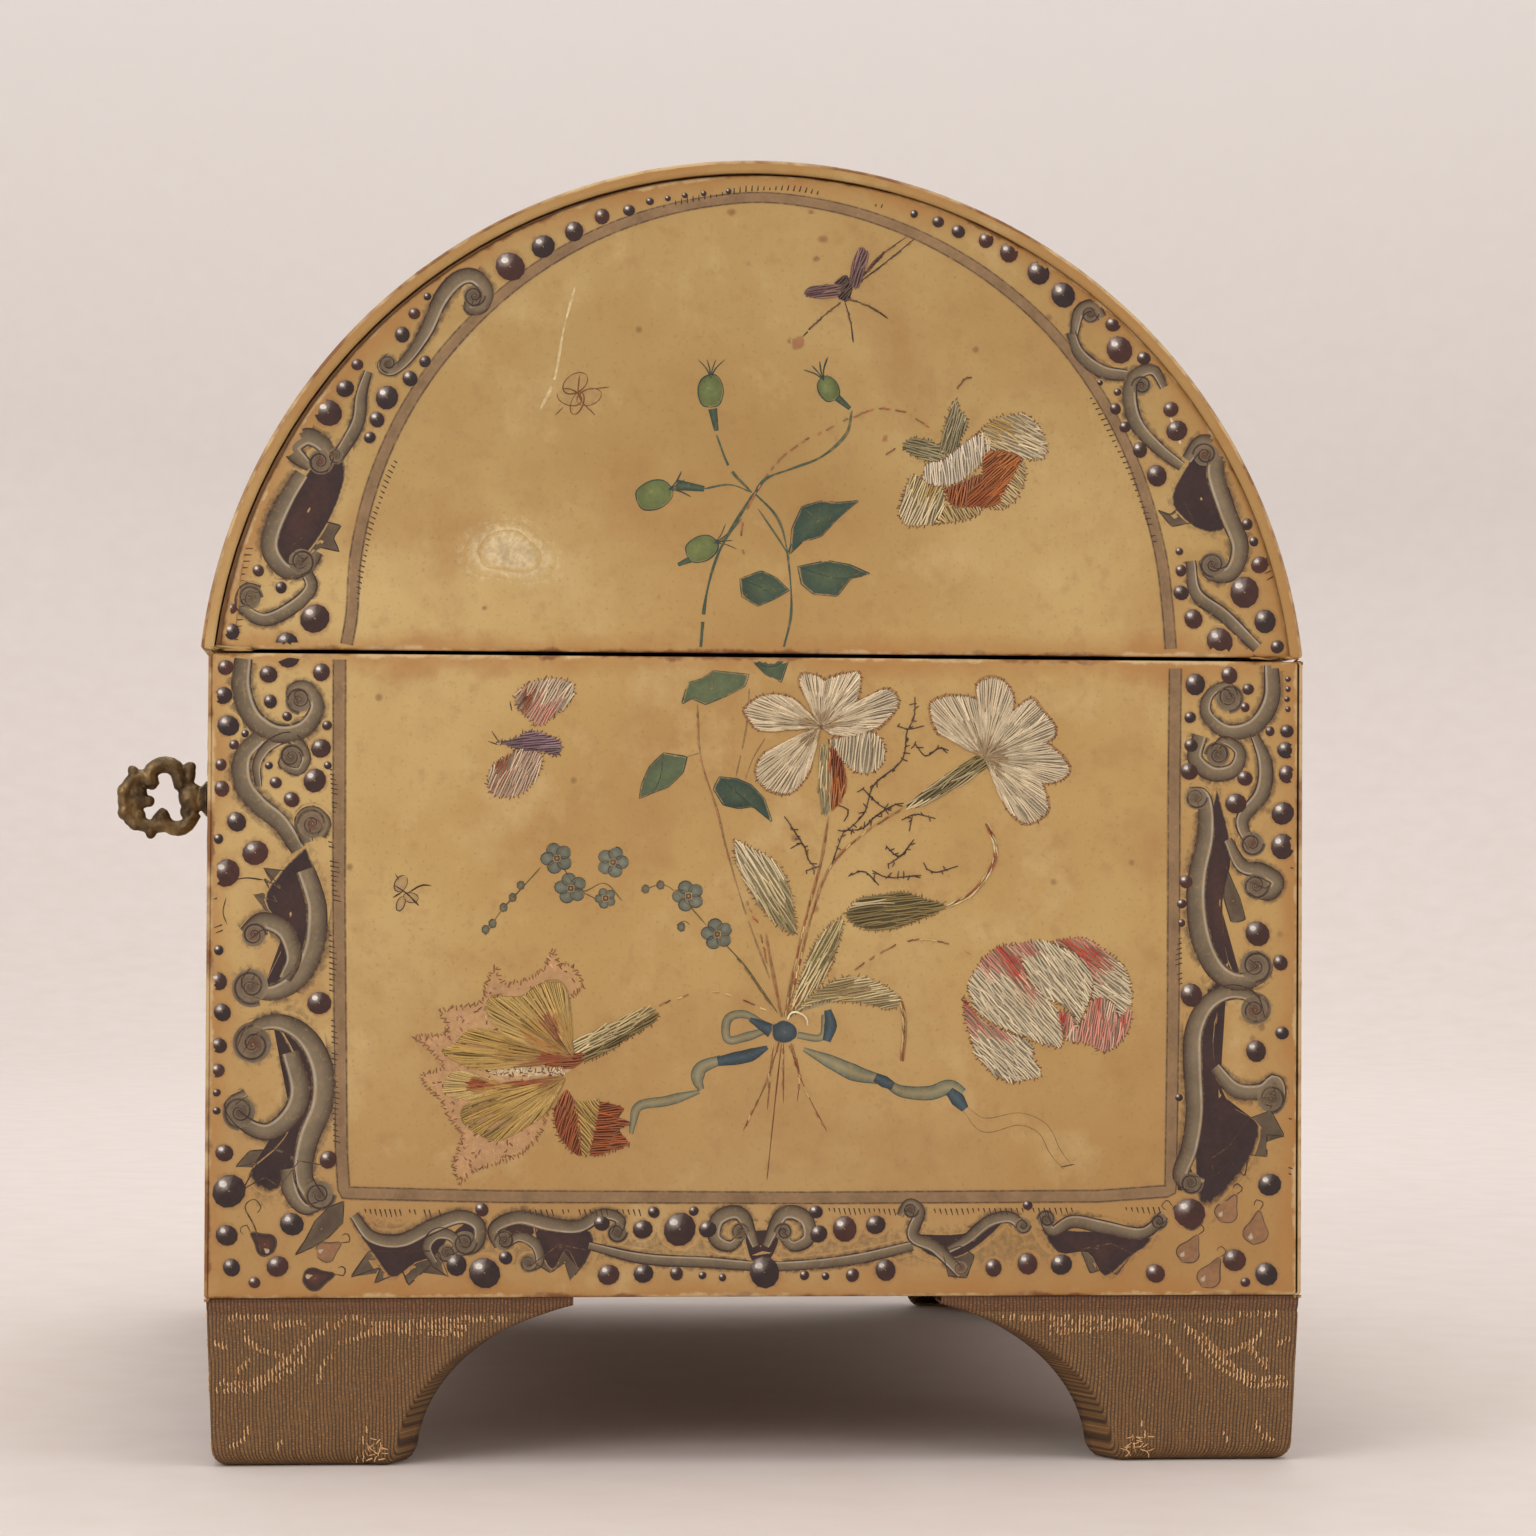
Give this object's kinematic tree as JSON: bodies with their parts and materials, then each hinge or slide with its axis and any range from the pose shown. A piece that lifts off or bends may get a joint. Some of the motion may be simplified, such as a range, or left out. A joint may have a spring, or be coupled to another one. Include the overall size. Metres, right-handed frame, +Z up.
{
  "type": "parchment-covered box",
  "caption": "Domed wooden casket covered in painted and silk-embroidered parchment, on fabric-covered bracket feet, with a hinged lid, a lock and a pierced key.",
  "frame": {"origin": "centre of the bounding box, key and hinge knuckles included, on the plane that the feet stand on", "axes": "+X along the casket's long side, -Y towards the keyhole side, +Z up"},
  "size_m": [0.32, 0.2436, 0.2533],
  "materials": {
    "parchment": "satin",
    "board": "bare",
    "galloon": "ribbed brocade",
    "silk": "satin weave",
    "brass": "aged",
    "key_bronze": "dark patina",
    "lock_iron": "forged, dull"
  },
  "bodies": {
    "case": {"bottom_board": "board", "front_board": "board", "back_board": "board", "left_end_board": "board", "right_end_board": "board", "front_parchment": "parchment", "back_parchment": "parchment", "left_end_parchment": "parchment", "right_end_parchment": "parchment", "front_lining": "silk", "back_lining": "silk", "left_end_lining": "silk", "right_end_lining": "silk", "floor_pad": "silk", "front_left_foot_core": "board", "front_right_foot_core": "board", "back_right_foot_core": "board", "back_left_foot_core": "board", "front_left_foot_cover": "galloon", "front_right_foot_cover": "galloon", "back_right_foot_cover": "galloon", "back_left_foot_cover": "galloon", "lock_plate": "lock_iron", "lock_case": "lock_iron", "lock_spring": "lock_iron", "lock_left_screw": "lock_iron", "lock_right_screw": "lock_iron", "escutcheon": "brass", "escutcheon_upper_pin": "brass", "escutcheon_lower_pin": "brass", "left_case_hinge_leaf": "brass", "right_case_hinge_leaf": "brass", "left_hinge_pin": "brass", "right_hinge_pin": "brass", "left_outer_case_hinge_screw": "brass", "left_inner_case_hinge_screw": "brass", "right_outer_case_hinge_screw": "brass", "right_inner_case_hinge_screw": "brass"},
    "lid": {"dome_board": "board", "dome_parchment": "parchment", "dome_lining": "silk", "lid_left_end_board": "board", "lid_right_end_board": "board", "lid_left_end_parchment": "parchment", "lid_right_end_parchment": "parchment", "lid_left_end_lining": "silk", "lid_right_end_lining": "silk", "lid_front_rail": "board", "lid_back_rail": "board", "lid_staple": "lock_iron", "staple_left_screw": "lock_iron", "staple_right_screw": "lock_iron", "left_lid_hinge_leaf": "brass", "right_lid_hinge_leaf": "brass", "left_outer_lid_hinge_screw": "brass", "left_inner_lid_hinge_screw": "brass", "right_outer_lid_hinge_screw": "brass", "right_inner_lid_hinge_screw": "brass"},
    "key": {"key": "key_bronze"},
    "bolt": {"lock_bolt": "lock_iron"}
  },
  "joints": [
    {"name": "lid_hinge", "type": "hinge", "parent": "case", "child": "lid", "pos_m": [0, 0.11965, 0.1569], "axis": [-1, 0, 0], "range_deg": [0, 100]},
    {"name": "key_turn", "type": "hinge", "parent": "case", "child": "key", "pos_m": [0, -0.09625, 0.13], "axis": [0, 1, 0], "range_deg": [0, 180]},
    {"name": "bolt_slide", "type": "slide", "parent": "case", "child": "bolt", "axis": [1, 0, 0], "range_m": [0, 0.006]}
  ],
  "couplings": [
    {"joint": "bolt_slide", "follows": "key_turn", "m_per_rad": 0.0019098}
  ]
}
